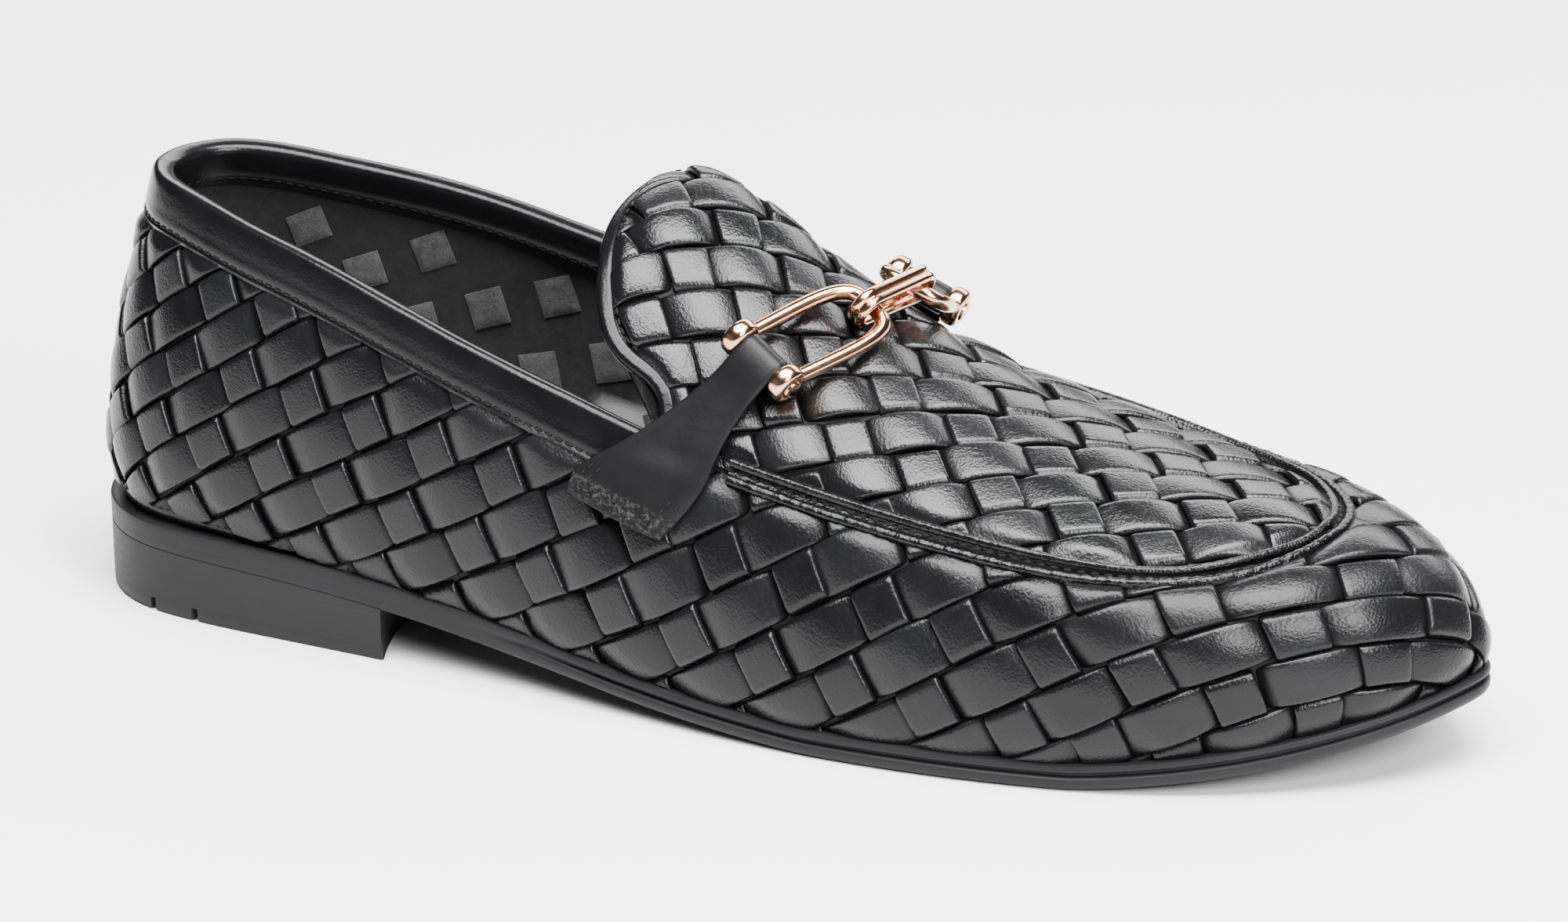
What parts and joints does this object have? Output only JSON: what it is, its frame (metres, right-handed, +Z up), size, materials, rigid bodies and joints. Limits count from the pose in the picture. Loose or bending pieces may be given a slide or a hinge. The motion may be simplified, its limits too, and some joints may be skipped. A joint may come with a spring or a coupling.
{
  "type": "woven leather loafer",
  "caption": "Right-foot slip-on loafer with a woven leather upper, a raised cord around its apron, a low heel and a metal bit on keeper straps.",
  "frame": {"origin": "centre of the bounding box on the floor", "axes": "+X from heel to toe, +Y towards the inner side of the foot, +Z up"},
  "size_m": [0.299, 0.0948, 0.0975],
  "materials": {
    "woven_leather": "polished black strips",
    "smooth_leather": "satin black",
    "sock_leather": "matt grey, pricked with small dots",
    "sole_rubber": "satin black",
    "pale_gold": "polished pale gold plating"
  },
  "bodies": {
    "shoe": {"upper": "woven_leather", "outsole": "sole_rubber", "heel": "sole_rubber", "heel_rand": "smooth_leather", "insole": "sock_leather", "collar_binding": "smooth_leather", "tongue_binding": "smooth_leather", "apron_seam": "smooth_leather", "back_strip": "smooth_leather", "strap_lateral": "smooth_leather", "strap_medial": "smooth_leather", "shackle_lateral": "pale_gold", "shackle_medial": "pale_gold", "pin_lateral": "pale_gold", "pin_medial": "pale_gold"},
    "bit_link": {"link": "pale_gold"}
  },
  "joints": [
    {"name": "link_swing", "type": "hinge", "parent": "shoe", "child": "bit_link", "pos_m": [0.0215, 0.00475, 0.07985], "axis": [0.2169, 0.9762, 0.0072], "range_deg": [-9, 9]}
  ]
}
